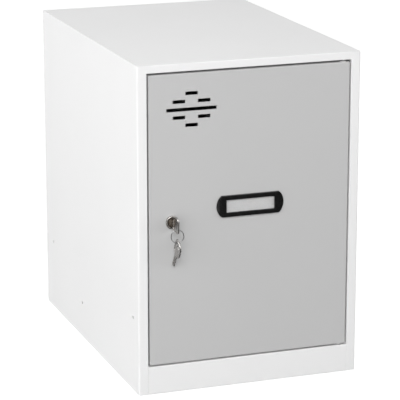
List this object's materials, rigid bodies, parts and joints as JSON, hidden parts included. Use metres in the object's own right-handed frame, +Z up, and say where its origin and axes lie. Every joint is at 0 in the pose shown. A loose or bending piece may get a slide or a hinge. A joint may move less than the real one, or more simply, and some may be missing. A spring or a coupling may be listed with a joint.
{
  "type": "small steel locker",
  "caption": "Small steel locker: folded sheet cabinet, pivoted vented door, cam lock with key and spare on a ring, and a label holder.",
  "frame": {"origin": "on the ground, under the middle of the whole locker with its keys", "axes": "+X to the right seen from the door, +Y from the door to the back, +Z up"},
  "size_m": [0.35, 0.5395, 0.5],
  "materials": {
    "body_paint": "white powder coat, fine texture, semi-matt",
    "door_paint": "light grey powder coat, fine texture, semi-matt",
    "zinc_plate": "bright zinc plate",
    "lock_nickel": "polished nickel plate",
    "key_nickel": "nickel plate, stamped and tumbled",
    "ring_wire": "nickel plated spring wire",
    "label_black": "black moulding, satin",
    "label_paper": "blank paper card",
    "label_clear": "clear plastic film",
    "bumper_rubber": "black rubber",
    "bush_nylon": "natural nylon"
  },
  "bodies": {
    "cabinet": {"left_side": "body_paint", "right_side": "body_paint", "top_panel": "body_paint", "back_panel": "body_paint", "floor_panel": "body_paint", "plinth": "body_paint", "back_rivets": "zinc_plate", "upper_pivot_pin": "zinc_plate", "lower_pivot_pin": "zinc_plate", "door_bumpers": "bumper_rubber"},
    "door": {"door_panel": "door_paint", "door_stiffener": "door_paint", "pivot_plates": "door_paint", "upper_bush": "bush_nylon", "lower_bush": "bush_nylon", "lock_barrel": "lock_nickel", "lock_washer": "zinc_plate", "lock_nut": "zinc_plate", "label_frame": "label_black", "label_card": "label_paper", "label_window": "label_clear"},
    "lock_core": {"lock_plug": "lock_nickel", "lock_cam": "zinc_plate", "cam_washer": "zinc_plate", "cam_screw": "zinc_plate"},
    "key": {"lock_key": "key_nickel"},
    "ring": {"key_ring": "ring_wire"},
    "spare": {"spare_key": "key_nickel"}
  },
  "joints": [
    {"name": "door_hinge", "type": "hinge", "parent": "cabinet", "child": "door", "pos_m": [0.1481, -0.22625, 0.2652], "axis": [0, 0, 1], "range_deg": [0, 120]},
    {"name": "lock_turn", "type": "hinge", "parent": "door", "child": "lock_core", "pos_m": [-0.122, -0.23125, 0.264], "axis": [0, 1, 0], "range_deg": [0, 90]},
    {"name": "key_withdraw", "type": "slide", "parent": "lock_core", "child": "key", "axis": [0, -1, 0], "range_m": [0, 0.023]},
    {"name": "ring_swing", "type": "hinge", "parent": "key", "child": "ring", "pos_m": [-0.122, -0.25505, 0.25819], "axis": [-1, 0, 0], "range_deg": [-1, 80]},
    {"name": "spare_swing", "type": "hinge", "parent": "ring", "child": "spare", "pos_m": [-0.122, -0.25505, 0.23879], "axis": [-1, 0, 0], "range_deg": [-2, 45]}
  ]
}
